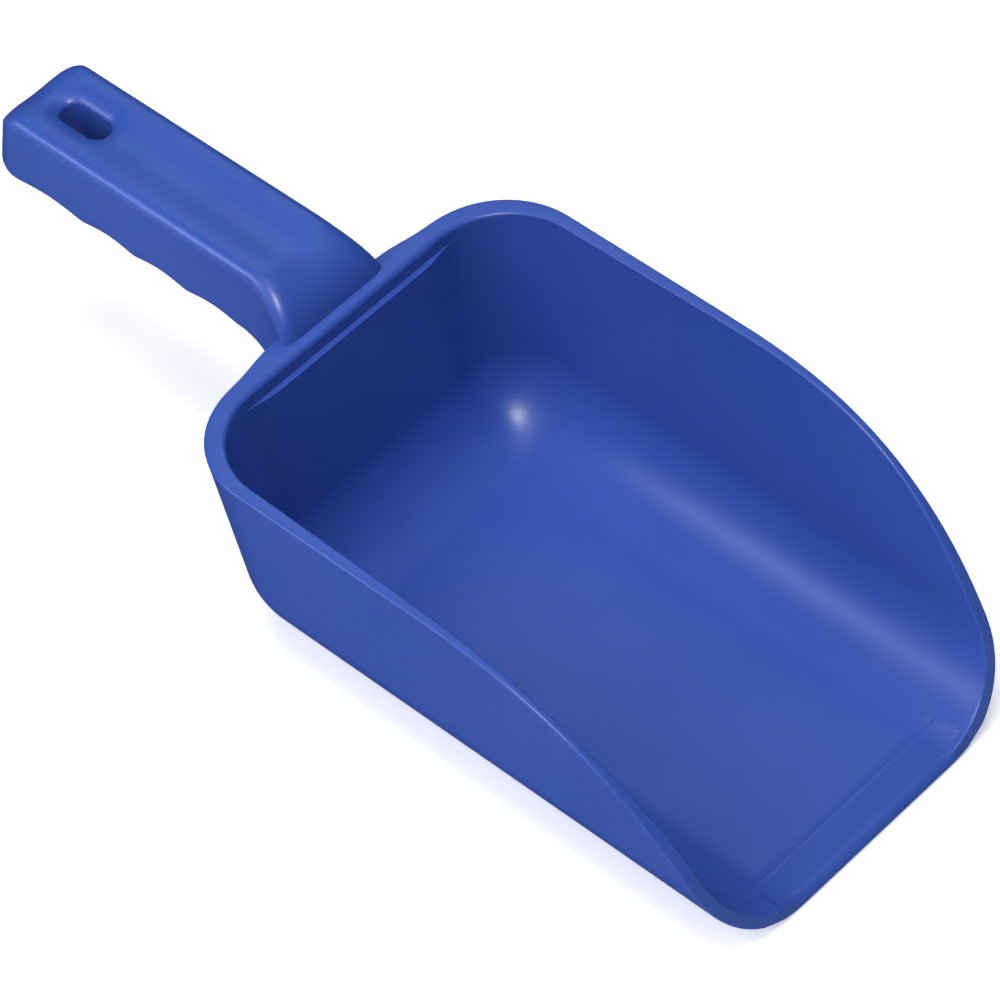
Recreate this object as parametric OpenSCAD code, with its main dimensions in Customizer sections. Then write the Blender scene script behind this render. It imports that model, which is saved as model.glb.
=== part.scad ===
// Feed scoop: a one-piece injection-moulded polypropylene hand scoop.
// Millimetres. +Z is up, the mouth faces -Y, the handle points to +Y, and X = 0 is the mirror plane.
// The origin is on the table, under the middle of the overall width and length.
// Below, the shapes are drawn with Y = 0 at the back of the rim, and place() moves them.
// The real scoop is one moulding. The sub-parts below are its regions, and they meet face to face.

/* [Bowl] */
// Width of the bowl over the top of the rim
rim_w = 155; // [135:1:180]
// Length of the bowl from the back of the rim to the lip
bowl_l = 229; // [200:1:270]
// Height of the rim above the table
rim_h = 91; // [80:1:105]
// Lean of the side walls from the vertical, in degrees
draft = 6.6; // [5:0.2:8]
// Lean of the back wall from the vertical, in degrees
back_draft = 5; // [4:0.5:8]
// Plan radius of the two rear corners
corner_r = 33; // [32:1:40]
// Radius of the outside rounding between walls and floor
belly_r = 36; // [28:1:37]
// Thickness of the floor
floor_t = 4.8; // [4:0.2:6]
// Thickness of the walls at the back end of the bowl
wall_t = 5; // [4:0.2:5.6]

/* [Rim] */
// Depth of the rim band down to the ledge inside the back wall
rim_band = 4.6; // [3.6:0.2:6]
// Rounding of the inner edge of the rim across the back
rim_round = 1.8; // [1:0.2:2.4]
// How far the middle of the back wall stands in under the rim
rim_over = 2.2; // [1.2:0.2:3]
// Extra width of the rim where it flares out to the handle
flare_out = 3.2; // [2:0.2:4]

/* [Mouth] */
// Distance from the back of the rim to where the side edges start to fall
sweep_start = 103; // [90:1:112]
// Fullness of the side edge curve (2 is an ellipse)
sweep_n = 2.6; // [2.3:0.1:2.9]
// Width of the bevelled panel along the lip
bevel_w = 90; // [70:2:92]
// Depth of the bevelled panel from front to back
bevel_l = 14.5; // [8:0.5:16]
// How far the bevel drops towards the lip
bevel_drop = 1.2; // [0.6:0.1:2]

/* [Handle] */
// Length of the handle behind the rim, along its top
grip_l = 133; // [125:1:150]
// Width of the grip
grip_w = 35.6; // [32:0.2:38]
// Height of the top of the grip above the rim
grip_rise = 16.1; // [12:0.5:17]
// Height of the grip from the finger ridges to the shoulders
grip_h = 34.3; // [31:0.5:38]
// Rounding of the upper shoulders
shoulder_r = 4; // [3:0.5:6]
// Rounding of the lower edges
under_r = 7; // [5:0.5:9]
// Depth of the shallow channel along the top
channel_d = 1.4; // [0.6:0.2:2.4]
// Spacing of the finger ridges
finger_pitch = 24.8; // [22:0.2:25.4]
// Depth of the finger grooves
finger_d = 1.7; // [0.8:0.1:2.6]

/* [Hang hole] */
// Width of the slotted hang hole at its throat
slot_w = 9.4; // [7:0.2:11]
// Length of the hang hole at its throat
slot_l = 21; // [17:0.5:23]
// Width of the dish round the mouths of the hang hole
slot_lead = 6.2; // [5:0.2:6.6]
// Depth of that dish
slot_dip = 3; // [1.5:0.5:6]
// Distance of the hang hole centre behind the rim
slot_y = 112; // [106:0.5:112]

/* [Hidden] */
half_w = rim_w / 2;
lean = tan(draft);
back_gain = lean - tan(back_draft);
seam_z = rim_h - rim_band;
// the belly rounding touches the leaning wall and the table plane
belly_in = (rim_h - belly_r) * lean + belly_r / cos(draft);
belly_top = 90 - draft;
// side walls get thinner towards the front of the rim, by this much per millimetre
wall_taper = 0.018;
taper_low = 40;
edge_r = 1;
// the back wall is thicker than the side walls
back_more = 1.9;
// the step fades out from here over this run, and over this run round the rear corners
step_from = 50;
step_run = 16;
blend_run = 8;
// the flare of the rim fades out from here over this run
flare_from = 52;
flare_run = 28;
// plan radius of the corners of the flat floor
floor_r = 1.4;
// the swept edge ends at the top of the lip, just behind its foremost point
lip_z = 4.5;
lip_back = 0.8;
sweep_a = 1.16 * (bowl_l - sweep_start);
sweep_u = pow(1 - pow((bowl_l - sweep_start - lip_back) / sweep_a, sweep_n), 1 / sweep_n);
sweep_b = (rim_h - lip_z) / (1 - sweep_u);
side_n = 6;
corner_n = 8;
back_n = 10;
belly_n = 8;
wall_n = 9;
band_n = 7;
// lip panel, cut out of the bowl as a block this deep
panel_y = bevel_l + 3;
nose_flat = 2.6;
nose_drop = 0.4;
grip_top = rim_h + grip_rise;
grip_low = grip_top - grip_h;
grip_start = 27;
end_r = 5.5;
// the end face bulges out by this much, most at this share of the height down from the top
end_bulge = 9;
bulge_at = 0.64;
lean_from = 34;
first_ridge = grip_l - 6.4;
ridge_n = 4;
bend_y = 19;
foot_y = -2.7;
foot_r = ((bend_y - foot_y) * (bend_y - foot_y) + grip_rise * grip_rise) / (2 * grip_rise);
foot_flare = 6.4;
neck_deep = 14;
neck_root = 12;
collar_w = slot_w + 2 * slot_lead + 1.2;
collar_l = slot_l + 2 * slot_lead + 1.2;
lead_n = 6;
reach = 400;
// moves the middle of the overall length onto Y = 0
centre_y = (bowl_l - grip_l - end_bulge) / 2;
blue = [0.20, 0.32, 0.66];

// ---- general shapes ----

// Soft step from 0 to 1
function soft(t) = let (u = min(1, max(0, t))) u * u * (3 - 2 * u);

// Drop of a rounded edge of radius r at distance d from where it starts
function round_in(r, d) = d >= r ? 0 : r - sqrt(d * (2 * r - d));

// Triangles between two open lines of n points that start at a and b
function strip(a, b, n) =
    [for (i = [0:n - 2]) each [[a + i, b + i, b + i + 1], [a + i, b + i + 1, a + i + 1]]];

// The same for closed loops of n points
function band(a, b, n) =
    [for (i = [0:n - 1]) let (k = (i + 1) % n) each [[a + i, b + i, b + k], [a + i, b + k, a + k]]];

// Middle of a loop of points
function middle(loop) = [for (p = loop) 1] * loop / len(loop);

// A solid skinned over closed loops of points, all of one length
module loft(loops) {
    n = len(loops[0]);
    m = len(loops);
    polyhedron(points = concat([for (s = loops) each s], [middle(loops[0]), middle(loops[m - 1])]),
        faces = concat(
            [for (j = [0:m - 2]) each band(j * n, (j + 1) * n, n)],
            [for (i = [0:n - 1]) [m * n, i, (i + 1) % n]],
            [for (i = [0:n - 1]) [m * n + 1, (m - 1) * n + (i + 1) % n, (m - 1) * n + i]]));
}

// ---- bowl surfaces ----

// Where the side edge is, from back to front, at height z
function edge_y(z) =
    let (u = min(1, max(0, (z - rim_h + sweep_b) / sweep_b)))
    -sweep_start - sweep_a * pow(1 - pow(u, sweep_n), 1 / sweep_n);

// The front end of a level: the swept edge, then the nose of the lip
function front_y(z) = z > lip_z ? edge_y(z) : edge_y(lip_z) - lip_back * soft((lip_z - z) / lip_z);

// Widening of the rim towards the handle at distance x from the middle
function flare(x) = flare_out * pow(soft((flare_from - abs(x)) / flare_run), 1.5);

// Corner radius of a level that is d in from the side: it shrinks evenly down to the floor
function corner(d) = corner_r - d * (corner_r - floor_r) / belly_in;

// How far the back wall leans less than the side walls at height z
function upright(z) = (rim_h - z) * back_gain;

// How far the back wall stands in at distance x from the middle
function step_in(x) = rim_over * soft((step_from - abs(x)) / step_run);

// Half of a level, from the front end of the side to the middle of the back
function half_level(dx, dy, r, z, taper) =
    let (xs = half_w - dx, yc = -dy - r, yf = front_y(z))
    concat(
        [for (i = [0:side_n])
            let (y = yf + (yc - yf) * i / side_n) [xs + taper * max(0, yc - y), y]],
        [for (i = [1:corner_n - 1])
            let (a = 90 * i / corner_n) [xs - r + r * cos(a), yc + r * sin(a)]],
        [for (i = [0:back_n / 2]) [(xs - r) * (1 - 2 * i / back_n), -dy]]);

// A whole level: dx in from the side, dy in from the back, corner radius r, height z.
// Its back flares out if it is part of the rim, and stands in if it is part of the wall.
function level(dx, dy, r, z, taper, flared, stepped) =
    let (h = half_level(dx, dy, r, z, taper), n = len(h))
    [for (i = [0:2 * n - 2])
        let (p = i < n ? h[i] : [-h[2 * n - 2 - i][0], h[2 * n - 2 - i][1]],
             share = soft((p[1] + dy + r + blend_run) / (0.7 * r + blend_run)))
        [p[0], p[1] + share * (flared ? flare(p[0]) : stepped ? -step_in(p[0]) : 0), z]];

// Heights of the wall levels, closer together towards the rim
function wall_z(i) =
    let (low = belly_r * (1 - sin(draft))) low + (seam_z - low) * (1 - pow(1 - i / wall_n, 1.5));

function taper_at(z) = wall_taper * soft((z - taper_low) / (rim_h - taper_low));
function thick(z) = floor_t + (wall_t - floor_t) * soft((z - belly_r) / (seam_z - belly_r));

// Outside of the bowl, from the table up to the rim band
function outside(i) =
    i <= belly_n
    ? let (a = belly_top * i / belly_n, d = belly_in - belly_r * sin(a), z = belly_r * (1 - cos(a)))
      level(d, d - upright(z), corner(d), z, 0, false, true)
    : let (z = wall_z(i - belly_n), d = (rim_h - z) * lean)
      level(d, d - upright(z), corner(d), z, 0, false, true);

// Inside of the bowl, level for level
function inside(i) =
    let (r = belly_r - floor_t)
    i <= belly_n
    ? let (a = belly_top * i / belly_n, d = belly_in - r * sin(a), z = floor_t + r * (1 - cos(a)))
      level(d, d + back_more - upright(z), corner(d), z, 0, false, true)
    : let (z = wall_z(i - belly_n), d = (rim_h - z) * lean + thick(z) / cos(draft))
      level(d, d + back_more - upright(z), corner(d), z, taper_at(z), false, true);

// Levels of the rim band, closest together at its rounded top
function band_z(i) = rim_h - rim_band * pow(1 - i / band_n, 2);
function band_out(i) =
    let (z = band_z(i), d = (rim_h - z) * lean + round_in(edge_r, rim_h - z))
    level(d, d - upright(z), corner(d), z, 0, true, false);
function band_in(i) =
    let (z = band_z(i), r = rim_round, d = (rim_h - z) * lean,
         sx = wall_t / cos(draft) - round_in(0.6, rim_h - z),
         sy = wall_t / cos(draft) + back_more - round_in(r, rim_h - z))
    level(d + sx, d + sy - upright(z), corner(d + sx), z, taper_at(z), false, false);

// A skin over outer levels and back down over inner levels, with its two front ends closed
function shell_faces(n, m) = concat(
    [for (k = [0:2 * m - 2]) each strip(k * n, (k + 1) * n, n)],
    [for (j = [0:m - 2], e = [0, 1])
        let (s = e * (n - 1), o = j * n + s, p = (2 * m - 1 - j) * n + s)
        each e == 0
        ? [[p, p - n, o + n], [p, o + n, o]]
        : [[o, o + n, p - n], [o, p - n, p]]]);

module bowl_shell() {
    outer = [for (i = [0:belly_n + wall_n]) outside(i)];
    inner = [for (i = [belly_n + wall_n:-1:0]) inside(i)];
    n = len(outer[0]);
    m = len(outer);
    last = (2 * m - 1) * n;
    mid = 2 * m * n;
    polyhedron(points = concat([for (s = concat(outer, inner)) each s],
                               [middle(outer[0]), middle(inner[m - 1])]),
        faces = concat(shell_faces(n, m),
            [for (i = [0:n - 1]) [mid, i, (i + 1) % n]],
            [for (i = [0:n - 1]) [mid + 1, last + (i + 1) % n, last + i]],
            [[n - 1, last + n - 1, last], [n - 1, last, 0]]));
}

// Everything inside the outer skin of bowl and rim, as one block
module filled_bowl() {
    loft([for (i = [0:belly_n + wall_n]) outside(i)]);
    loft([for (i = [0:band_n]) band_out(i)]);
}

// Block of the floor that the lip panel is cut from
module panel_block() {
    translate([-bevel_w / 2, -bowl_l - 5, -1])
        cube([bevel_w, panel_y + 5, floor_t + 4]);
}

// The sloping cut of the bevel, with its nose
module bevel_cut() {
    y0 = -bowl_l;
    top = floor_t + 6;
    translate([-bevel_w / 2 - 1, 0, 0])
        rotate([90, 0, 90])
        linear_extrude(height = bevel_w + 2)
        polygon([[y0 + bevel_l, floor_t], [y0 + nose_flat, floor_t - bevel_drop],
                 [y0 + lip_back, floor_t - bevel_drop - nose_drop], [y0 - 5, floor_t - bevel_drop - 3],
                 [y0 - 5, top], [y0 + bevel_l, top]]);
}

// ---- handle surfaces ----

// Closed outline across the handle, from the middle of the underside
function outline(w, zt, zb, rs, ru, ch) =
    let (right = concat(
        [for (i = [0:2]) [(w - ru) * i / 3, zb]],
        [for (i = [0:4]) let (a = 90 * i / 4 - 90) [w - ru + ru * cos(a), zb + ru + ru * sin(a)]],
        [for (i = [0:4]) let (a = 90 * i / 4) [w - rs + rs * cos(a), zt - rs + rs * sin(a)]],
        [for (i = [1:5]) let (x = (w - rs) * (1 - i / 6)) [x, zt - ch * (1 + cos(180 * (1 - i / 6))) / 2]]),
        n = len(right))
    concat(right, [[0, zt - ch]], [for (i = [n - 1:-1:1]) [-right[i][0], right[i][1]]]);

// Underside of the grip: ridges between the fingers, grooves for the fingers
function under(y) =
    let (t = (first_ridge - y) / finger_pitch)
    grip_low + (t > 0 && t < ridge_n ? finger_d * abs(sin(180 * t)) : 0);

// Share of the bulge of the end face at share h of the height down from the top
function bulge(h) = 1 - (h / bulge_at - 1) * (h / bulge_at - 1);

// One station of the grip, shrunk by e for the rounded end
function grip_at(y, e) =
    let (o = outline(grip_w / 2 - e, grip_top - e, under(y) + e, shoulder_r, under_r, channel_d),
         k = end_bulge * soft((y - grip_l + lean_from) / lean_from))
    [for (p = o) [-p[0], y + k * bulge((grip_top - p[1]) / grip_h), p[1]]];

module grip_body() {
    y1 = grip_l - end_r;
    loft(concat(
        [for (i = [0:31]) grip_at(grip_start + (y1 - grip_start) * i / 31, 0)],
        [for (i = [1:4]) let (a = 80 * i / 4)
            grip_at(y1 + end_r * sin(a), end_r * (1 - cos(a)))]));
}

// Top of the handle where it bends down to the rim, and on down inside the rim
function neck_top(y) =
    y >= bend_y ? grip_top
    : y < foot_y ? rim_h - (foot_y - y) / 4
    : grip_top - foot_r + sqrt(foot_r * foot_r - (bend_y - y) * (bend_y - y));

function neck_at(y) =
    let (u = min(1, max(0, (bend_y - y) / (bend_y - foot_y))),
         o = outline(grip_w / 2 + foot_flare * pow(u, 1.7), neck_top(y),
                     under(grip_start) - neck_deep * soft((grip_start - y) / (grip_start - foot_y)),
                     shoulder_r + 4 * u, under_r, channel_d * (1 - soft(u))))
    [for (p = o) [-p[0], y, p[1]]];

module neck_body() {
    steps = 13;
    loft(concat([neck_at(foot_y - neck_root)],
        [for (i = [0:steps]) neck_at(foot_y + (grip_start - foot_y) * i / steps)]));
}

// A straight-sided slot, standing on its plane, width w and length l along Y
module slot_plug(w, l, z0, z1) {
    translate([0, slot_y, z0]) {
        for (s = [-1, 1]) translate([0, s * (l - w) / 2, 0]) cylinder(d = w, h = z1 - z0, $fn = 48);
        translate([-w / 2, -(l - w) / 2, 0]) cube([w, l - w, z1 - z0]);
    }
}

// Profile of the hang hole from its axis outwards, opening at both faces
function lead_profile() =
    let (r = slot_w / 2, z1 = grip_top - channel_d, z0 = grip_low + finger_d / 2)
    concat([[0, z0 - 6], [r + slot_lead, z0 - 6]],
        [for (i = [0:lead_n]) let (a = 90 * i / lead_n)
            [r + slot_lead * (1 - sin(a)), z0 + slot_dip * (1 - cos(a))]],
        [for (i = [lead_n:-1:0]) let (a = 90 * i / lead_n)
            [r + slot_lead * (1 - sin(a)), z1 - slot_dip * (1 - cos(a))]],
        [[r + slot_lead, z1 + 6], [0, z1 + 6]]);

module hang_hole() {
    span = slot_l - slot_w;
    for (s = [-1, 1]) translate([0, slot_y + s * span / 2, 0])
        rotate_extrude($fn = 48) polygon(lead_profile());
    for (m = [0, 1]) mirror([m, 0, 0])
        translate([0, slot_y + span / 2, 0]) rotate([90, 0, 0])
        linear_extrude(height = span) polygon(lead_profile());
}

// ---- the named regions ----

module place() {
    color(blue) translate([0, centre_y, 0]) children();
}

module bowl() {
    place() difference() {
        bowl_shell();
        panel_block();
    }
}

module lip() {
    place() difference() {
        intersection() {
            bowl_shell();
            panel_block();
        }
        bevel_cut();
    }
}

module rim() {
    outer = [for (i = [0:band_n]) band_out(i)];
    inner = [for (i = [band_n:-1:0]) band_in(i)];
    n = len(outer[0]);
    m = len(outer);
    place() polyhedron(points = [for (s = concat(outer, inner)) each s],
        faces = concat(shell_faces(n, m), strip((2 * m - 1) * n, 0, n)));
}

module neck() {
    place() difference() {
        neck_body();
        filled_bowl();
    }
}

module grip() {
    place() difference() {
        grip_body();
        slot_plug(collar_w, collar_l, 0, reach);
    }
}

module collar() {
    place() difference() {
        intersection() {
            grip_body();
            slot_plug(collar_w, collar_l, 0, reach);
        }
        hang_hole();
    }
}

bowl();
rim();
lip();
neck();
grip();
collar();
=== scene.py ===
"""Looks of the feed scoop: a one-piece moulding in semi-gloss blue polypropylene.

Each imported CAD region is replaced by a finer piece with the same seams, so the six pieces read as one
moulding. Shapes are worked out in millimetres with Y = 0 at the back of the rim, as in the part's own
source, and put into the frame in metres by make_piece(). The rim's height and the grip's place and
height are read from the frame; the other sizes repeat the part's source, or refine it where marked.
"""

import math

import bmesh
import bpy
import numpy as np
from mathutils import Matrix, Vector


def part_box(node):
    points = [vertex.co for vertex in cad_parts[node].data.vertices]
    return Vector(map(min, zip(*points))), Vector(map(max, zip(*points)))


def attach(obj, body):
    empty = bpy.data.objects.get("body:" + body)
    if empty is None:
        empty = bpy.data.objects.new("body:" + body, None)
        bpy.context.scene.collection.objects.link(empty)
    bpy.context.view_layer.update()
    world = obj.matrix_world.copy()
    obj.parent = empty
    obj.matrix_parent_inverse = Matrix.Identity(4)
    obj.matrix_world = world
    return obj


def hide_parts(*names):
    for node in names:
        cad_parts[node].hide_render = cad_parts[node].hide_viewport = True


MM = 0.001

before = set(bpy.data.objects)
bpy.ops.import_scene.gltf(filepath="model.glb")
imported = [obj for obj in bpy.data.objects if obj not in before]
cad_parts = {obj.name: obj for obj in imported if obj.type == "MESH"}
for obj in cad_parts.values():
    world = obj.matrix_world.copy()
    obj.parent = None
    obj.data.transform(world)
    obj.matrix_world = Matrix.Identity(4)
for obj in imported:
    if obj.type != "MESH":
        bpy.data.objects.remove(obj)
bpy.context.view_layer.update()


def box_mm(node):
    """Low and high corner of a CAD node's box, in millimetres."""
    low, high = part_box(node)
    return np.array(low) / MM, np.array(high) / MM


# ---- driving sizes, in millimetres, as in the part's source unless marked as finer ----

# bowl
HALF_W = 77.5
BOWL_L = 229.0
DRAFT = math.radians(6.6)
BACK_DRAFT = math.radians(5)
CORNER_R = 33.0
BELLY_R = 36.0
FLOOR_T = 4.8
FLOOR_R = 1.4
WALL_T = 5.0
BACK_MORE = 1.9  # extra thickness of the back wall
WALL_TAPER = 0.018  # each inner side widens by this much per millimetre towards the mouth ...
TAPER_LOW = 40.0  # ... growing from nothing at this height
INSIDE_BLEND = 20.0  # length of wall over which the inner curve settles into the wall
TAPER_FROM = 30.0  # for the front edge it is counted from this far in front of the back wall

# rim
RIM_BAND = 4.6
RIM_OVER = 2.2
FLARE_OUT = 3.2
FLARE_FROM, FLARE_RUN, FLARE_POWER = 52.0, 28.0, 1.5
STEP_FROM, STEP_RUN = 50.0, 16.0
BLEND_RUN = 8.0
BLEND_SHARE = 0.7  # share of the corner radius over which the back's own shape comes in
INNER_ROUND_BACK = 1.8
EDGE_ROUND = 1.0
# finer than the source
INNER_ROUND_SIDE = 0.8

# swept sides and lip
SWEEP_START = 103.0
SWEEP_N = 2.6
SWEEP_LONG = 1.16
LIP_Z = 4.5
LIP_BACK = 0.8
BEVEL_W = 90.0
BEVEL_L = 14.5
BEVEL_DROP = 1.2
PANEL_Y = BEVEL_L + 3
NOTCH_FRONT, NOTCH_BELOW, NOTCH_ABOVE = 5, 1, 3
# finer than the source: the nose, the step behind it, the pocket's ends and the fine line at its back
NOSE_Z = 2.2
NOSE_FLAT = 2.9
NOSE_TILT = 0.08
NOSE_EDGE = 0.3
CHAMFER = 2.4
NOSE_FADE = 12.0
POCKET_Y = 3.8
LINE_DEPTH = 0.24
LINE_HALF = 0.6

# grip
GRIP_START = 27.0
GRIP_L = 133.0
GRIP_W = 35.6
SHOULDER_R = 4.0
UNDER_R = 7.0
CHANNEL_D = 1.4
FINGER_PITCH = 24.8
FINGER_D = 1.7
FINGER_SWELL = 1.1
FINGER_END = 6.4
CREST_BLUNT = 0.012
RIDGES = 4
END_R = 5.5
END_STOP = 0.985  # how far round the end the skin runs before it closes flat
END_BULGE = 9.0
BULGE_AT = 0.64
LEAN_FROM = 34.0

# hang hole
SLOT_W = 9.4
SLOT_L = 21.0
SLOT_LEAD = 6.2
SLOT_DIP = 3.0
SLOT_Y = 112.0
COLLAR_OFF = SLOT_LEAD + 0.4
WINDOW_Y = 18.6  # half the length of grip that is drawn round the hang hole

# neck
BEND_Y = 19.0
FOOT_Y = -2.7
FOOT_FLARE = 6.4
FOOT_POWER = 1.7
FOOT_ROUND = 4.0
FOOT_DROP = 0.6
FOOT_IN_RIM = 1.4
FOOT_IN_WALL = 2.4
NECK_DEEP = 14.0

# ---- sizes read from the frame, and sizes worked out ----

GRIP_BOX_LOW, GRIP_BOX_HIGH = box_mm("grip")
BACK_Y = GRIP_BOX_LOW[1] - GRIP_START  # where the back of the rim is in the frame
RIM_H = box_mm("rim")[1][2]
GRIP_TOP = GRIP_BOX_HIGH[2]
GRIP_H = GRIP_BOX_HIGH[2] - GRIP_BOX_LOW[2]
GRIP_LOW = GRIP_TOP - GRIP_H
GRIP_RISE = GRIP_TOP - RIM_H
SEAM_Z = RIM_H - RIM_BAND
LEAN, COS, SIN = math.tan(DRAFT), math.cos(DRAFT), math.sin(DRAFT)
BACK_GAIN = LEAN - math.tan(BACK_DRAFT)
BELLY_IN = (RIM_H - BELLY_R) * LEAN + BELLY_R / COS
BELLY_TURN = math.pi / 2 - DRAFT
BELLY_LEN = BELLY_R * BELLY_TURN
BELLY_Z = BELLY_R * (1 - math.cos(BELLY_TURN))
SECTION_TOP = BELLY_LEN + (RIM_H - BELLY_Z) / COS
SECTION_SEAM = BELLY_LEN + (SEAM_Z - BELLY_Z) / COS
SWEEP_A = SWEEP_LONG * (BOWL_L - SWEEP_START)
SWEEP_U = (1 - ((BOWL_L - SWEEP_START - LIP_BACK) / SWEEP_A) ** SWEEP_N) ** (1 / SWEEP_N)
SWEEP_B = (RIM_H - LIP_Z) / (1 - SWEEP_U)
FOOT_R = ((BEND_Y - FOOT_Y) ** 2 + GRIP_RISE**2) / (2 * GRIP_RISE)

# ---- how finely the surfaces are drawn ----

SIDE_N = 64
SIDE_BUNCH = 1.15  # bunches points towards the front edge
CORNER_N = 24
BACK_N = 40
BELLY_N = 26
WALL_N = 44
WALL_BUNCH = 1.5
BAND_N = 30
ROUND_N = 5
NOSE_N = 8
CHAMFER_N = 8
FADE_N = 12
PANEL_N = 8
ARC_N = 14
FLAT_N = 12
TOP_N = 18
TOP_ARC_SKIP = 9
LOW_ARC_SKIP = 6
GRIP_N = 90
WINDOW_N = 28
END_N = 5
PATCH_N = 6
LEAD_N = 14
NECK_N = 48
CREASE = math.radians(38)
WELD = 0.01  # millimetres
PROBE = 0.01  # step, in millimetres, for taking a direction along the section

MIRROR = np.array([-1, 1, 1])


def soft(t):
    """Rises smoothly from 0 to 1 as t does."""
    u = np.clip(t, 0.0, 1.0)
    return u * u * (3 - 2 * u)


def unit(v):
    """Vectors brought to length 1."""
    return v / np.linalg.norm(v, axis=-1, keepdims=True)


# ---- pieces ----


def in_frame(points):
    """Points in the part's millimetres as frame coordinates."""
    return ((np.asarray(points, float) + [0, BACK_Y, 0]) * MM).tolist()


def make_piece(name, points, faces, *nodes):
    """A closed smooth-shaded mesh from points in millimetres, standing for CAD nodes."""
    mesh = bpy.data.meshes.new(name)
    mesh.from_pydata(in_frame(points), [], [list(f) for f in faces])
    piece = bpy.data.objects.new(name, mesh)
    bpy.context.scene.collection.objects.link(piece)
    finish_mesh(mesh)
    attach(piece, "root")
    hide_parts(*nodes)
    return piece


def finish_mesh(mesh):
    """Welds, turns the faces outwards, and shades smooth except at creases."""
    bm = bmesh.new()
    bm.from_mesh(mesh)
    bmesh.ops.remove_doubles(bm, verts=bm.verts, dist=WELD * MM)
    bmesh.ops.recalc_face_normals(bm, faces=bm.faces)
    for face in bm.faces:
        face.smooth = True
    for edge in bm.edges:
        edge.smooth = len(edge.link_faces) == 2 and edge.calc_face_angle(0) < CREASE
    bm.to_mesh(mesh)
    bm.free()


def strips(rows, closed):
    """Quads between rows of point numbers."""
    faces = []
    for low, high in zip(rows, rows[1:]):
        count = len(low)
        for i in range(count if closed else count - 1):
            k = (i + 1) % count
            faces.append((low[i], low[k], high[k], high[i]))
    return faces


def fan(points, loop):
    """Triangles from a new middle point to a loop of point numbers."""
    middle = len(points)
    points.append(np.mean([points[i] for i in loop], axis=0))
    return [(middle, loop[i], loop[(i + 1) % len(loop)]) for i in range(len(loop))]


def add_rows(points, rows):
    """Appends rows of coordinates and returns their point numbers."""
    numbered = []
    for row in rows:
        numbered.append(list(range(len(points), len(points) + len(row))))
        points.extend(np.asarray(row, float))
    return numbered


def zip_loops(a, angles_a, b, angles_b):
    """Triangles between two loops that go round together, each with the angle of every point."""
    order_a, order_b = np.argsort(angles_a), np.argsort(angles_b)
    a, angles_a = [a[i] for i in order_a], angles_a[order_a]
    b, angles_b = [b[i] for i in order_b], angles_b[order_b]
    full_turn, never = 2 * math.pi, 1e3
    faces, i, j = [], 0, 0
    while i < len(a) or j < len(b):
        next_a = angles_a[i + 1] if i + 1 < len(a) else angles_a[0] + full_turn + never * (i == len(a))
        next_b = angles_b[j + 1] if j + 1 < len(b) else angles_b[0] + full_turn + never * (j == len(b))
        if next_a <= next_b:
            faces.append((a[i % len(a)], a[(i + 1) % len(a)], b[j % len(b)]))
            i += 1
        else:
            faces.append((a[i % len(a)], b[(j + 1) % len(b)], b[j % len(b)]))
            j += 1
    return faces


# ---- bowl, rim and lip surfaces ----


def edge_y(z):
    """Where the swept side edge is at height z."""
    u = np.clip((z - RIM_H + SWEEP_B) / SWEEP_B, 0.0, 1.0)
    return -SWEEP_START - SWEEP_A * (1 - u**SWEEP_N) ** (1 / SWEEP_N)


def front_y(z):
    """Where the front edge is at height z: the swept side edge, then the nose of the lip."""
    nose = edge_y(LIP_Z) - LIP_BACK * soft((LIP_Z - z) / LIP_Z)
    return np.where(z > LIP_Z, edge_y(z), nose)


def front_slope(z):
    """How fast the front edge moves back as it rises: the slope of front_y()."""
    u = np.clip((z - RIM_H + SWEEP_B) / SWEEP_B, 0.0, 1 - 1e-9)
    swept = SWEEP_A / SWEEP_B * u ** (SWEEP_N - 1) * (1 - u**SWEEP_N) ** (1 / SWEEP_N - 1)
    t = np.clip((LIP_Z - z) / LIP_Z, 0.0, 1.0)
    return np.where(z > LIP_Z, swept, LIP_BACK * 6 * t * (1 - t) / LIP_Z)


def thick(z):
    """Thickness of the wall at height z."""
    return FLOOR_T + (WALL_T - FLOOR_T) * soft((z - BELLY_R) / (SEAM_Z - BELLY_R))


def taper_at(z):
    """How much each inner side widens per millimetre towards the mouth, at height z."""
    return WALL_TAPER * soft((z - TAPER_LOW) / (RIM_H - TAPER_LOW))


def upright(z):
    """How far the back wall leans less than the side walls at height z."""
    return (RIM_H - z) * BACK_GAIN


def corner(d):
    """Corner radius of a level that is d in from the side: it shrinks evenly down to the floor."""
    return CORNER_R - d * (CORNER_R - FLOOR_R) / BELLY_IN


def section(s, inside):
    """Distance in from the side, height and corner radius at length s up from the floor."""
    s = np.asarray(s, float)
    turn = np.minimum(s / BELLY_R, BELLY_TURN)
    up = np.maximum(0.0, s - BELLY_LEN)
    if not inside:
        z = BELLY_R * (1 - np.cos(turn)) + up * COS
        d = BELLY_IN - BELLY_R * np.sin(turn) - up * SIN
        return d, z, corner(d)
    r = BELLY_R - FLOOR_T
    z = FLOOR_T + r * (1 - np.cos(turn))
    z_wall = BELLY_Z + up * COS + FLOOR_T * SIN * (1 - soft(up / INSIDE_BLEND))
    d_wall = (RIM_H - z_wall) * LEAN + thick(z_wall) / COS
    d = np.where(up > 0, d_wall, BELLY_IN - r * np.sin(turn))
    return d, np.where(up > 0, z_wall, z), corner(d)


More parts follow.
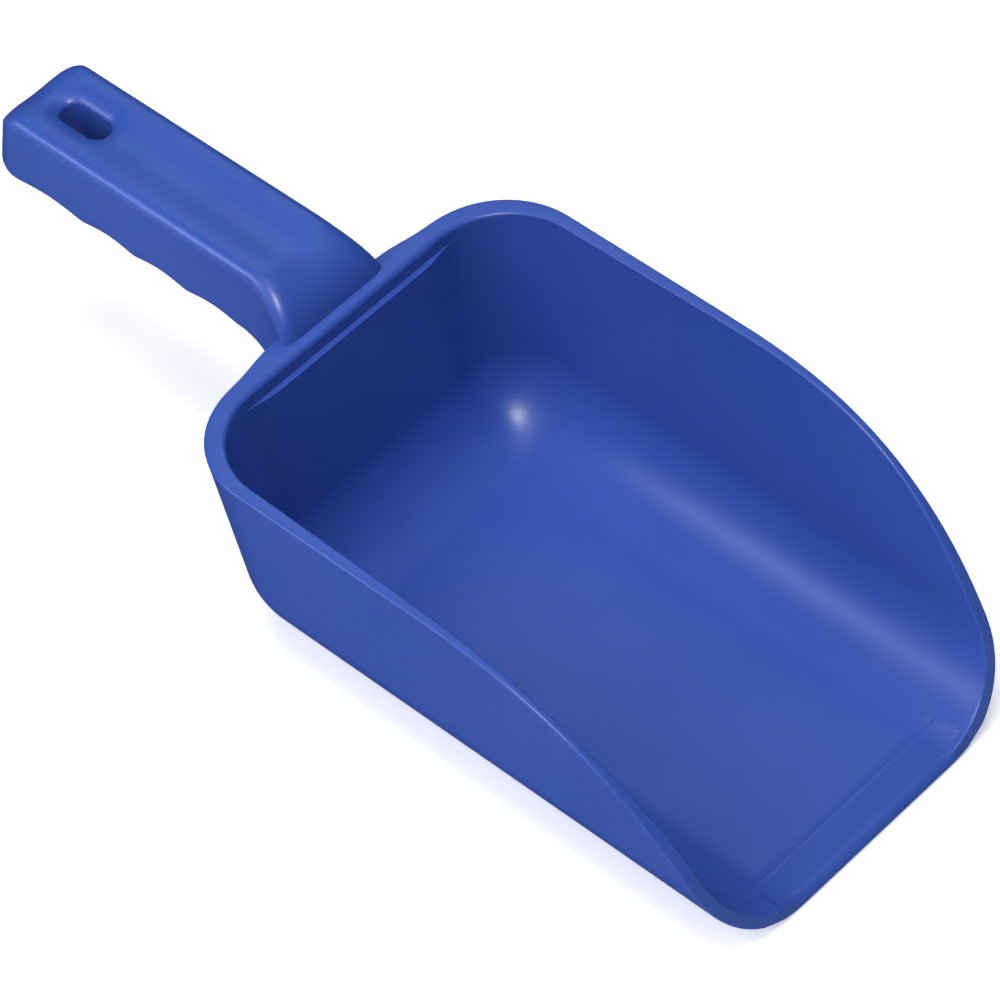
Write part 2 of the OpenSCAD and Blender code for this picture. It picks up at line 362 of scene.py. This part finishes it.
# each level runs along one side, round a corner and half way across the back, then is mirrored.
SIDE_SHARE = (np.arange(SIDE_N) / SIDE_N) ** SIDE_BUNCH
CORNER_TURN = np.pi / 2 * np.arange(CORNER_N) / CORNER_N
BACK_SHARE = np.arange(BACK_N + 1) / BACK_N
ON_SIDE = slice(0, SIDE_N)
ON_CORNER = slice(SIDE_N, SIDE_N + CORNER_N)
ON_BACK = slice(SIDE_N + CORNER_N, SIDE_N + CORNER_N + BACK_N + 1)
HALF_COUNT = SIDE_N + CORNER_N + BACK_N + 1
RING_COUNT = 2 * HALF_COUNT - 1
# 0 along the side, 1 across the back
BACKNESS = np.concatenate([np.zeros(SIDE_N), soft(CORNER_TURN / (np.pi / 2)), np.ones(BACK_N + 1)])


def ring(d, dy, r, z, y_end, taper=0.0, flared=None):
    """A level from the right front end round the back to the left front end.

    The rim flares out towards the handle, and the middle of the back wall stands in under it.
    """
    d, dy, r, z = (np.broadcast_to(v, HALF_COUNT).astype(float) for v in (d, dy, r, z))
    yc = -dy - r
    x, y = np.zeros(HALF_COUNT), np.zeros(HALF_COUNT)
    y[ON_SIDE] = y_end + (yc[ON_SIDE] - y_end) * SIDE_SHARE
    x[ON_SIDE] = HALF_W - d[ON_SIDE] + taper * np.maximum(0, yc[ON_SIDE] - y[ON_SIDE])
    x[ON_CORNER] = HALF_W - d[ON_CORNER] - r[ON_CORNER] * (1 - np.cos(CORNER_TURN))
    y[ON_CORNER] = yc[ON_CORNER] + r[ON_CORNER] * np.sin(CORNER_TURN)
    x[ON_BACK] = (HALF_W - d[ON_BACK] - r[ON_BACK]) * (1 - BACK_SHARE)
    y[ON_BACK] = -dy[ON_BACK]
    near_back = soft((y - yc + BLEND_RUN) / (BLEND_SHARE * r + BLEND_RUN))
    if flared == "rim":
        y = y + near_back * FLARE_OUT * soft((FLARE_FROM - np.abs(x)) / FLARE_RUN) ** FLARE_POWER
    if flared == "wall":
        y = y - near_back * RIM_OVER * soft((STEP_FROM - np.abs(x)) / STEP_RUN)
    half = np.stack([x, y, z], axis=1)
    return np.concatenate([half, (half * MIRROR)[-2::-1]])


def edge_points(s, inside, taper):
    """The wall's edge at length s, the way that the surface runs into it, and its run and rise shares."""
    d, z, _ = section(s, inside)
    d2, z2, _ = section(s - PROBE, inside)
    up = unit(np.array([d2 - d, 0.0, z - z2]))
    rise = front_slope(z) * up[2]
    share = rise / math.sqrt(1 + rise**2)
    keep = 1 / math.sqrt(1 + rise**2)
    y = float(front_y(z))
    x = HALF_W - d + taper * max(0.0, -d - TAPER_FROM - y)
    return np.array([float(x), y, float(z)]), share * up + np.array([0, -keep, 0]), share, keep


def across(e_out, m_out, r_out, e_in, m_in, r_in, flat=1.0):
    """Points over the rounded edge between the outside and the inside, both ends left out."""
    c = unit((e_in - e_out) * flat)
    rows = []
    for i in range(1, ROUND_N + 1):
        a = math.pi / 2 * i / ROUND_N
        rows.append(e_out - r_out * m_out * (1 - math.sin(a)) + r_out * c * (1 - math.cos(a)))
    for i in range(ROUND_N, 0, -1):
        a = math.pi / 2 * i / ROUND_N
        rows.append(e_in - r_in * m_in * (1 - math.sin(a)) - r_in * c * (1 - math.cos(a)))
    return rows


def closed_loop(outer, inner, edge):
    """One closed level: outside, left front edge, inside and right front edge."""
    return np.concatenate([outer, [p * MIRROR for p in edge], inner[::-1], edge[::-1]])


def loop_parts(loop):
    """Splits a closed level of point numbers into outside, inside, left front edge and right front edge."""
    edge = 2 * ROUND_N
    outer, inner = loop[:RING_COUNT], loop[RING_COUNT + edge : 2 * RING_COUNT + edge][::-1]
    left = loop[RING_COUNT - 1 : RING_COUNT + edge + 1]
    right = [loop[0]] + loop[: -edge - 1 : -1] + [loop[-edge - 1]]
    return outer, inner, left, right


def shell_loop(s):
    """One closed level of the bowl."""
    ends = []
    for inside, r_edge in ((False, EDGE_ROUND), (True, INNER_ROUND_SIDE)):
        _, z, _ = section(s, inside)
        taper = float(taper_at(z)) if inside else 0.0
        ends.append((*edge_points(s, inside, taper), r_edge, taper))
    rings = []
    for inside, (e, _, share, keep, r_edge, taper) in zip((False, True), ends):
        length = (BELLY_R - FLOOR_T) / BELLY_R if inside and s < BELLY_LEN else 1.0
        d, z, r = section(max(0.0, s - r_edge * share / length), inside)
        dy = d + BACK_MORE * inside - upright(z)
        rings.append(ring(d, dy, r, z, e[1] + r_edge * keep, taper, "wall"))
    (e_out, m_out, *_), (e_in, m_in, *_) = ends
    edge = across(e_out, m_out, EDGE_ROUND, e_in, m_in, INNER_ROUND_SIDE)
    return closed_loop(*rings, edge)


def build_bowl():
    """The bowl from its floor up to the seam under the rim."""
    lengths = [BELLY_LEN * i / BELLY_N for i in range(BELLY_N)]
    for i in range(WALL_N + 1):
        share = 1 - (1 - i / WALL_N) ** WALL_BUNCH
        lengths.append(BELLY_LEN + (SECTION_SEAM - BELLY_LEN) * share)
    points = []
    rows = add_rows(points, [shell_loop(s) for s in lengths])
    faces = strips(rows, True)
    outer, inner, left, right = loop_parts(rows[0])
    faces += strips([left, right], False)
    faces += [tuple(outer), tuple(inner[::-1])]
    # flat top of the wall at the seam
    outer, inner, left, right = loop_parts(rows[-1])
    faces += strips([outer, inner], False)
    faces += [tuple(left), tuple(right)]
    return points, faces


def inner_round(up_share):
    """Rounding of the rim's inner edge: wider at the back, fading out down to the seam."""
    return INNER_ROUND_SIDE + (INNER_ROUND_BACK - INNER_ROUND_SIDE) * BACKNESS * up_share


def band_loop(s):
    """One closed level of the rim band, which overhangs the back wall on both sides."""
    out_e, out_m, out_share, out_keep = edge_points(s, False, 0.0)
    _, z_in, _ = section(s, True)
    taper = float(taper_at(z_in))
    in_e, in_m, in_share, in_keep = edge_points(s, True, taper)
    d, z, _ = section(s - EDGE_ROUND * out_share, False)
    outer = ring(d, d - upright(z), corner(d), z, out_e[1] + EDGE_ROUND * out_keep, 0.0, "rim")
    up_share = (s - SECTION_SEAM) / (SECTION_TOP - SECTION_SEAM)
    d, z, _ = section(s - inner_round(up_share) * in_share, True)
    y_end = in_e[1] + INNER_ROUND_SIDE * in_keep
    inner = ring(d, d + BACK_MORE - upright(z), corner(d), z, y_end, taper)
    edge = across(out_e, out_m, EDGE_ROUND, in_e, in_m, INNER_ROUND_SIDE)
    return closed_loop(outer, inner, edge)


def build_rim():
    """The thickened band round the top of the bowl."""
    lengths = []
    for i in range(BAND_N + 1):
        lengths.append(SECTION_TOP - (SECTION_TOP - SECTION_SEAM) * (1 - i / BAND_N) ** SWEEP_N)
    points = []
    rows = add_rows(points, [band_loop(s) for s in lengths])
    faces = strips(rows, True)
    # rounded top: over the outer edge, across the land and down the inner edge
    top_out, top_in, left, right = loop_parts(rows[-1])
    outer = np.array([points[i] for i in top_out])
    inner = np.array([points[i] for i in top_in])
    r_half = inner_round(1)
    r_in = np.concatenate([r_half, r_half[-2::-1]])[:, None]
    up = np.array([0, 0, 1.0])
    slant = np.array([LEAN, 0, 0])
    e_out = outer + up * EDGE_ROUND + slant * np.sign(outer[:, :1]) * EDGE_ROUND
    e_in = inner + up * r_in
    top_rows = add_rows(points, across(e_out, up, EDGE_ROUND, e_in, up, r_in, flat=[1, 1, 0]))
    faces += strips([top_out] + top_rows + [top_in], False)
    for end, k in ((left, -1), (right, 0)):
        faces += strips([end, [end[0]] + [row[k] for row in top_rows] + [end[-1]]], False)
    # flat underside at the seam
    low_out, low_in, left, right = loop_parts(rows[0])
    faces += strips([low_out, low_in], False)
    faces += [tuple(left), tuple(right)]
    return points, faces


def cut_block(piece, low, high):
    """Takes a box, given in millimetres, out of a piece."""
    corners = [(x, y, z) for x in (low[0], high[0]) for y in (low[1], high[1]) for z in (low[2], high[2])]
    faces = [(0, 1, 3, 2), (4, 6, 7, 5), (0, 4, 5, 1), (2, 3, 7, 6), (0, 2, 6, 4), (1, 5, 7, 3)]
    mesh = bpy.data.meshes.new("cutter")
    mesh.from_pydata(in_frame(corners), [], faces)
    cutter = bpy.data.objects.new("cutter", mesh)
    bpy.context.scene.collection.objects.link(cutter)
    modifier = piece.modifiers.new("notch", "BOOLEAN")
    modifier.operation = "DIFFERENCE"
    modifier.solver = "EXACT"
    modifier.object = cutter
    depsgraph = bpy.context.evaluated_depsgraph_get()
    cut = bpy.data.meshes.new_from_object(piece.evaluated_get(depsgraph))
    piece.modifiers.clear()
    piece.data = cut
    bpy.data.objects.remove(cutter)
    finish_mesh(cut)


def lip_profile(x):
    """Closed section of the lip panel at x, from the back of the underside forwards and over the nose."""
    ax = abs(x)
    past_flat = max(0.0, ax - (HALF_W - BELLY_IN))
    out_turn = math.asin(min(1.0, past_flat / BELLY_R))
    in_turn = math.asin(min(1.0, past_flat / (BELLY_R - FLOOR_T)))
    low = BELLY_R * (1 - math.cos(out_turn))
    top = FLOOR_T + (BELLY_R - FLOOR_T) * (1 - math.cos(in_turn))
    depth = float(soft((BEVEL_W / 2 - ax) / CHAMFER))
    nose_depth = float(soft((BEVEL_W / 2 - ax) / NOSE_FADE))
    y_back, y_crease = -BOWL_L + PANEL_Y, -BOWL_L + BEVEL_L
    # the front edge runs on from the edge of the bowl
    y_front, y_top = float(front_y(low)), float(front_y(top))
    path = [(y_back, low), (y_front + EDGE_ROUND, low)]
    for i in range(1, ROUND_N + 1):
        a = math.pi / 2 * i / ROUND_N
        path.append((y_front + EDGE_ROUND * (1 - math.sin(a)), low + EDGE_ROUND * (1 - math.cos(a))))
    # nose: rises from the front face, rounds over and runs back to the lower line of the panel
    shoulder = top - BEVEL_DROP * nose_depth
    y_nose = y_front + (y_top - y_front) * (1 - nose_depth)
    nose_end = y_nose + NOSE_FLAT * nose_depth + INNER_ROUND_SIDE * (1 - nose_depth)
    nose_start = low + EDGE_ROUND + (NOSE_Z - EDGE_ROUND) * nose_depth
    nose_start += (shoulder - INNER_ROUND_SIDE - nose_start) * (1 - nose_depth)
    for i in range(NOSE_N + 1):
        a = math.pi / 2 * i / NOSE_N
        y = nose_end - (nose_end - y_nose) * math.cos(a)
        path.append((y, nose_start + (shoulder - nose_start) * math.sin(a)))
    # a small step from the nose into the pocket, which rises back to the floor
    pocket_y, pocket_z = -BOWL_L + POCKET_Y, top - BEVEL_DROP * depth
    tilted = shoulder + (pocket_z - shoulder) * NOSE_TILT
    path.append(((nose_end + pocket_y) / 2, tilted))
    path.append((pocket_y - NOSE_EDGE, tilted))
    for i in range(PANEL_N + 1):
        t = i / PANEL_N
        path.append((pocket_y + (y_crease - LINE_HALF - pocket_y) * t, pocket_z + (top - pocket_z) * t))
    # a fine groove marks the upper end of the pocket
    path.append((y_crease, top - LINE_DEPTH * depth))
    path.append((y_crease + LINE_HALF, top))
    path.append((y_back, top))
    return [(x, y, z) for y, z in path]


def build_lip():
    """The panel at the mouth, set into the notch that is cut out of the bowl."""
    reach = BEVEL_W / 2
    right = [reach - CHAMFER * i / CHAMFER_N for i in range(CHAMFER_N)]
    right += [reach - CHAMFER - (NOSE_FADE - CHAMFER) * i / FADE_N for i in range(FADE_N)]
    right += [(reach - NOSE_FADE) * (1 - i / PANEL_N) for i in range(PANEL_N + 1)]
    stations = right + [-x for x in right[-2::-1]]
    points = []
    rows = add_rows(points, [lip_profile(x) for x in stations])
    faces = strips(rows, True)
    faces += [tuple(rows[0]), tuple(rows[-1])]
    return points, faces


# ---- handle surfaces ----


def under(y):
    """Underside of the grip: ridges between the fingers, with slightly blunted crests."""
    t = (GRIP_L - FINGER_END - y) / FINGER_PITCH
    wave = np.sqrt(np.sin(np.pi * t) ** 2 + CREST_BLUNT) - math.sqrt(CREST_BLUNT)
    return GRIP_LOW + np.where((t > 0) & (t < RIDGES), FINGER_D * FINGER_SWELL * wave, 0.0)


def outline(w, zt, zb, rs, ru, ch):
    """Closed section of the handle from the middle of the underside round the right side.

    It is 2w wide from zb up to zt, with rs and ru as its upper and lower roundings, and a channel ch deep.
    """
    low = [((w - ru) * i / FLAT_N, zb) for i in range(FLAT_N)]
    arcs = np.pi / 2 * np.arange(ARC_N + 1) / ARC_N
    low += [(w - ru + ru * math.sin(a), zb + ru - ru * math.cos(a)) for a in arcs]
    high = [(w - rs + rs * math.cos(a), zt - rs + rs * math.sin(a)) for a in arcs]
    for i in range(1, TOP_N + 1):
        t = 1 - i / TOP_N
        high.append(((w - rs) * t, zt - ch * (1 + math.cos(math.pi * t)) / 2))
    right = low + high
    return np.array(right + [(-x, z) for x, z in right[-2:0:-1]])


# points of that section where the windows for the hang hole start, part of the way round each arc
TOP_WINDOW = FLAT_N + ARC_N + 1 + TOP_ARC_SKIP
LOW_WINDOW = FLAT_N + LOW_ARC_SKIP


def end_shrink(y):
    """How much the rounded end has drawn in at y."""
    d = np.clip(y - (GRIP_L - END_R), 0.0, END_R * END_STOP)
    return END_R - np.sqrt(END_R**2 - d**2)


def leaned(points):
    """The end face of the grip bulges out, most at BULGE_AT of the way down."""
    p = np.array(points, float)
    k = END_BULGE * soft((p[:, 1] - GRIP_L + LEAN_FROM) / LEAN_FROM)
    p[:, 1] += k * (1 - ((GRIP_TOP - p[:, 2]) / GRIP_H / BULGE_AT - 1) ** 2)
    return p


def standing(section_xz, y):
    """A handle section as points in the plane at y."""
    return np.stack([section_xz[:, 0], np.full(len(section_xz), y), section_xz[:, 1]], axis=1)


def grip_section(y):
    """The grip cut across at y, before its end leans out."""
    e = float(end_shrink(y))
    low = float(under(y)) + e
    return standing(outline(GRIP_W / 2 - e, GRIP_TOP - e, low, SHOULDER_R, UNDER_R, CHANNEL_D), y)


def arc_fall(r, past):
    """How far an arc of radius r has fallen at a distance past its crest."""
    return r - np.sqrt(np.maximum(0, r**2 - np.maximum(0, past) ** 2))


def top_z(x, y):
    """Height of the top of the grip."""
    e = end_shrink(y)
    flat = GRIP_W / 2 - e - SHOULDER_R
    ax = np.abs(x)
    dip = CHANNEL_D * (1 + np.cos(np.pi * np.minimum(ax / flat, 1))) / 2
    return GRIP_TOP - e - dip - arc_fall(SHOULDER_R, ax - flat)


def low_z(x, y):
    """Height of the underside of the grip."""
    e = end_shrink(y)
    flat = GRIP_W / 2 - e - UNDER_R
    return under(y) + e + arc_fall(UNDER_R, np.abs(x) - flat)


def slot_point(direction, offset):
    """Where a ray from the middle of the slot crosses its outline, grown by offset."""
    r, half = SLOT_W / 2 + offset, (SLOT_L - SLOT_W) / 2
    dx, dy = direction
    if abs(dy) * r <= abs(dx) * half:
        return np.array([math.copysign(r, dx), dy * r / abs(dx)])
    t = half * abs(dy) + math.sqrt(max(0.0, (half * dy) ** 2 - (half**2 - r**2)))
    return np.array([dx * t, dy * t])


def slot_outline(rays, offset):
    """The slot's outline, grown by offset, at each ray."""
    return np.array([slot_point(d, offset) for d in rays]) + [0, SLOT_Y]


def bullnose(d):
    """Drop of the rounded mouth of the hang hole at distance d from its throat."""
    share = max(0.0, SLOT_LEAD - d) / SLOT_LEAD
    return SLOT_DIP * (1 - math.sqrt(1 - share**2))


def collar_rows(rays, height, sign):
    """Loops over one mouth of the hang hole, from the collar's rim to the throat."""
    rows = []
    for k in range(LEAD_N + 1):
        quarter = math.pi / 2 * (k - 1) / (LEAD_N - 1)
        offset = COLLAR_OFF if k == 0 else SLOT_LEAD * (1 - math.sin(quarter))
        xy = slot_outline(rays, offset)
        plain = np.column_stack([xy, height(xy[:, 0], xy[:, 1]) - sign * bullnose(offset)])
        # the throat stays upright, and the rim follows the lean of the grip's end
        share = min(1.0, offset / SLOT_LEAD)
        rows.append(plain + (leaned(plain) - plain) * share)
    return rows


def build_collar(rays):
    """The piece that lines the hang hole; its outer wall stands in the socket in the grip."""
    points = []
    top = add_rows(points, collar_rows(rays, top_z, 1))
    low = add_rows(points, collar_rows(rays, low_z, -1))
    faces = strips(top + low[::-1], True) + strips([low[0], top[0]], True)
    return points, faces


def build_grip():
    """The skin of the grip with its socket for the collar, and the rays that the socket is drawn on."""
    window = [SLOT_Y - WINDOW_Y + 2 * WINDOW_Y * i / WINDOW_N for i in range(WINDOW_N + 1)]
    before = [GRIP_START + (window[0] - GRIP_START) * i / GRIP_N for i in range(GRIP_N)]
    last = GRIP_L - END_R * (1 - END_STOP)
    left_over = last - window[-1]
    after = [window[-1] + left_over * math.sin(math.pi / 2 * i / END_N) for i in range(1, END_N + 1)]
    stations = before + window + after
    sections = [grip_section(y) for y in stations]
    points = []
    rows = add_rows(points, [leaned(s) for s in sections])
    first, end = len(before), len(before) + WINDOW_N
    size = len(rows[0])
    top_span = list(range(TOP_WINDOW, size - TOP_WINDOW + 1))
    low_span = list(range(size - LOW_WINDOW, size)) + list(range(LOW_WINDOW + 1))
    faces = []
    for j, (a, b) in enumerate(zip(rows, rows[1:])):
        for i in range(size):
            k = (i + 1) % size
            if first <= j < end and any(i in span and k in span for span in (top_span, low_span)):
                continue
            faces.append((a[i], a[k], b[k], b[i]))
    faces += fan(points, rows[0]) + fan(points, rows[-1])
    # each window is filled with rings that close in on the socket
    windows = []
    for span, height in ((top_span, top_z), (low_span, low_z)):
        around = [(first, i) for i in span] + [(j, span[-1]) for j in range(first + 1, end)]
        around += [(end, i) for i in span[::-1]] + [(j, span[0]) for j in range(end - 1, first, -1)]
        outer = np.array([(sections[j][i, 0], stations[j]) for j, i in around])
        rays = unit(outer - [0, SLOT_Y])
        inner = slot_outline(rays, COLLAR_OFF)
        patch = [[rows[j][i] for j, i in around]]
        for k in range(1, PATCH_N + 1):
            xy = outer + (inner - outer) * k / PATCH_N
            patch += add_rows(points, [leaned(np.column_stack([xy, height(xy[:, 0], xy[:, 1])]))])
        faces += strips(patch, True)
        windows.append((patch[-1], rays))
    (top_loop, top_rays), (low_loop, low_rays) = windows
    # the socket's wall matches the outer wall of the collar
    socket = add_rows(points, [collar_rows(top_rays, low_z, -1)[0]])[0]
    faces += strips([top_loop, socket], True)
    socket_angles = np.arctan2(top_rays[:, 1], top_rays[:, 0])
    low_angles = np.arctan2(low_rays[:, 1], low_rays[:, 0])
    faces += zip_loops(socket, socket_angles, low_loop, low_angles)
    return points, faces, top_rays


# ---- neck ----


def neck_top(y):
    """Height of the top of the neck, which bends down to the rim."""
    drop = math.sqrt(max(0.0, FOOT_R**2 - (BEND_Y - y) ** 2)) - FOOT_R
    return GRIP_TOP if y >= BEND_Y else GRIP_TOP + drop


def neck_section(y):
    """The neck cut across at y: wider, rounder and deeper towards the bowl."""
    u = min(1.0, max(0.0, (BEND_Y - y) / (BEND_Y - FOOT_Y)))
    half = GRIP_W / 2 + FOOT_FLARE * u**FOOT_POWER
    low = float(under(GRIP_START)) - NECK_DEEP * float(soft((GRIP_START - y) / (GRIP_START - FOOT_Y)))
    channel = CHANNEL_D * (1 - float(soft(u)))
    return standing(outline(half, neck_top(y), low, SHOULDER_R + FOOT_ROUND * u, UNDER_R, channel), y)


def build_neck():
    """The neck from the grip to its root, which is sunk into the rim and the back wall."""
    stations = [FOOT_Y + (GRIP_START - FOOT_Y) * i / NECK_N for i in range(NECK_N + 1)]
    root = neck_section(FOOT_Y)
    root[:, 2] = np.minimum(root[:, 2], RIM_H - FOOT_DROP)
    wall = -(RIM_H - root[:, 2]) * LEAN - RIM_OVER - FOOT_IN_WALL
    root[:, 1] = np.where(root[:, 2] > SEAM_Z, FOOT_Y - FOOT_IN_RIM, wall)
    points = []
    rows = add_rows(points, [root] + [neck_section(y) for y in stations])
    return points, strips(rows, True) + fan(points, rows[0]) + fan(points, rows[-1])


# ---- materials ----

BLUES = ((0.033, 0.084, 0.392, 1), (0.039, 0.093, 0.420, 1))
ROUGHNESS = (0.31, 0.39)
COLOUR_SCALE, COLOUR_DETAIL = 14, 3
ROUGH_SCALE, ROUGH_DETAIL = 35, 4
GRAIN_SCALE, GRAIN_DETAIL = 420, 2
NOISE_LOW, NOISE_HIGH = 0.3, 0.7
GATE_BACK = 40.0  # gate mark: distance from the back, radius, sloping edge, height against the grain
GATE_R = 2.2
GATE_EDGE = 0.6
GATE_H = 4.0
PAPER_GLOW = 0.42


def plastic():
    """Semi-gloss moulded polypropylene: a touch of colour drift, uneven gloss, fine grain and a gate mark."""
    material = bpy.data.materials.new("blue_plastic")
    material.use_nodes = True
    nodes, links = material.node_tree.nodes, material.node_tree.links
    shader = nodes["Principled BSDF"]
    shader.inputs["IOR"].default_value = 1.49
    shader.inputs["Specular IOR Level"].default_value = 0.3
    place = nodes.new("ShaderNodeTexCoord")

    def noise(scale, detail):
        n = nodes.new("ShaderNodeTexNoise")
        n.inputs["Scale"].default_value = scale
        n.inputs["Detail"].default_value = detail
        links.new(place.outputs["Object"], n.inputs["Vector"])
        return n.outputs["Fac"]

    def ramp(value, *limits):
        r = nodes.new("ShaderNodeMapRange")
        for end, limit in zip(("From Min", "From Max", "To Min", "To Max"), limits):
            r.inputs[end].default_value = limit
        links.new(value, r.inputs["Value"])
        return r.outputs["Result"]

    drift = nodes.new("ShaderNodeMix")
    drift.data_type = "RGBA"
    drift.inputs["A"].default_value, drift.inputs["B"].default_value = BLUES
    colour_noise = noise(COLOUR_SCALE, COLOUR_DETAIL)
    links.new(ramp(colour_noise, NOISE_LOW, NOISE_HIGH, 0, 1), drift.inputs["Factor"])
    links.new(drift.outputs["Result"], shader.inputs["Base Color"])
    rough_noise = noise(ROUGH_SCALE, ROUGH_DETAIL)
    links.new(ramp(rough_noise, NOISE_LOW, NOISE_HIGH, *ROUGHNESS), shader.inputs["Roughness"])
    bump = nodes.new("ShaderNodeBump")
    bump.inputs["Strength"].default_value = 0.12
    bump.inputs["Distance"].default_value = 0.4 * MM
    # the gate mark: a low round pip on the floor, fading out at its edge
    gate = nodes.new("ShaderNodeVectorMath")
    gate.operation = "DISTANCE"
    gate.inputs[1].default_value = (0, (BACK_Y - GATE_BACK) * MM, FLOOR_T * MM)
    links.new(place.outputs["Object"], gate.inputs[0])
    pip = ramp(gate.outputs["Value"], (GATE_R - GATE_EDGE) * MM, GATE_R * MM, GATE_H, 0)
    height = nodes.new("ShaderNodeMath")
    height.operation = "ADD"
    links.new(noise(GRAIN_SCALE, GRAIN_DETAIL), height.inputs[0])
    links.new(pip, height.inputs[1])
    links.new(height.outputs["Value"], bump.inputs["Height"])
    links.new(bump.outputs["Normal"], shader.inputs["Normal"])
    return material


def paper():
    """White sweep under the scoop, slightly lit of its own so that it stays white."""
    material = bpy.data.materials.new("paper")
    material.use_nodes = True
    shader = material.node_tree.nodes["Principled BSDF"]
    shader.inputs["Base Color"].default_value = (0.93, 0.93, 0.93, 1)
    shader.inputs["Roughness"].default_value = 0.9
    shader.inputs["Emission Color"].default_value = (1, 1, 1, 1)
    shader.inputs["Emission Strength"].default_value = PAPER_GLOW
    return material


# ---- build ----

bowl_piece = make_piece("scoop_bowl", *build_bowl(), "bowl")
# the notch for the lip panel, cut with some room to spare in front, below and above
cut_block(
    bowl_piece,
    (-BEVEL_W / 2, -BOWL_L - NOTCH_FRONT, -NOTCH_BELOW),
    (BEVEL_W / 2, -BOWL_L + PANEL_Y, FLOOR_T + NOTCH_ABOVE),
)
rim_piece = make_piece("scoop_rim", *build_rim(), "rim")
lip_piece = make_piece("scoop_lip", *build_lip(), "lip")
neck_piece = make_piece("scoop_neck", *build_neck(), "neck")
grip_points, grip_faces, socket_rays = build_grip()
collar_piece = make_piece("scoop_collar", *build_collar(socket_rays), "collar")
grip_piece = make_piece("scoop_grip", grip_points, grip_faces, "grip")

blue = plastic()
for piece in (bowl_piece, rim_piece, lip_piece, neck_piece, grip_piece, collar_piece):
    piece.data.materials.clear()
    piece.data.materials.append(blue)

# ---- floor, light and camera ----

FLOOR_REACH = 6.0
floor_mesh = bpy.data.meshes.new("floor")
floor_corners = [(FLOOR_REACH * x, FLOOR_REACH * y, 0) for x, y in ((-1, -1), (1, -1), (1, 1), (-1, 1))]
floor_mesh.from_pydata(floor_corners, [], [(0, 1, 2, 3)])
floor = bpy.data.objects.new("floor", floor_mesh)
bpy.context.scene.collection.objects.link(floor)
floor_mesh.materials.append(paper())
floor.visible_glossy = False

world = bpy.data.worlds.new("studio")
bpy.context.scene.world = world
world.use_nodes = True
world.node_tree.nodes["Background"].inputs["Strength"].default_value = 0

# the lamps and the camera face a point over the middle of the bowl's floor
LOOK_Y, LOOK_Z = -81.58, 40.79
target = Vector((0, (BACK_Y + LOOK_Y) * MM, LOOK_Z * MM))
LAMP_AWAY = 1.7


def soft_light(name, direction, size, power, sheen=False):
    """A round soft light, either for the body colour or for the sheen on it."""
    data = bpy.data.lights.new(name, "AREA")
    data.shape = "DISK"
    data.size = size
    data.energy = power
    lamp = bpy.data.objects.new(name, data)
    towards = Vector(direction).normalized()
    lamp.location = target + towards * LAMP_AWAY
    lamp.rotation_mode = "QUATERNION"
    lamp.rotation_quaternion = (-towards).to_track_quat("-Z", "Y")
    lamp.visible_diffuse = not sheen
    lamp.visible_glossy = sheen
    bpy.context.scene.collection.objects.link(lamp)


soft_light("side", (-1, 0.2, 0.4), 1.1, 4.8)
soft_light("key", (-1, 0.3, 1.1), 1.1, 12.8)
soft_light("top", (0, 0, 1), 1.1, 19)
soft_light("front", (-0.3, -1, 1.2), 1.1, 4.8)
soft_light("floor_sheen", (0.43, 0.49, 0.76), 0.9, 3.2, sheen=True)
soft_light("corner_sheen", (-0.35, -0.29, 0.8), 0.45, 34, sheen=True)
soft_light("ridge_sheen", (-0.6, 0.5, 0.42), 0.7, 11, sheen=True)

AZIMUTH, ELEVATION, ROLL = map(math.radians, (-41.589, 49.345, -7.045))
DISTANCE = 1.8237
LENS, SENSOR = 203.70, 36.0
SHIFT_X, SHIFT_Y = -0.02727, 0.02665
level = math.cos(ELEVATION)
back = Vector((math.sin(AZIMUTH) * level, -math.cos(AZIMUTH) * level, math.sin(ELEVATION)))
level_right = (-back).cross(Vector((0, 0, 1))).normalized()
level_up = level_right.cross(-back)
right = math.cos(ROLL) * level_right + math.sin(ROLL) * level_up
up = -math.sin(ROLL) * level_right + math.cos(ROLL) * level_up
camera_data = bpy.data.cameras.new("camera")
camera_data.sensor_width = SENSOR
camera_data.lens = LENS
camera_data.shift_x = SHIFT_X
camera_data.shift_y = SHIFT_Y
camera = bpy.data.objects.new("camera", camera_data)
turn = Matrix((right, up, back)).transposed().to_4x4()
camera.matrix_world = Matrix.Translation(target + back * DISTANCE) @ turn
bpy.context.scene.collection.objects.link(camera)
bpy.context.scene.camera = camera
bpy.context.scene.view_settings.view_transform = "Standard"
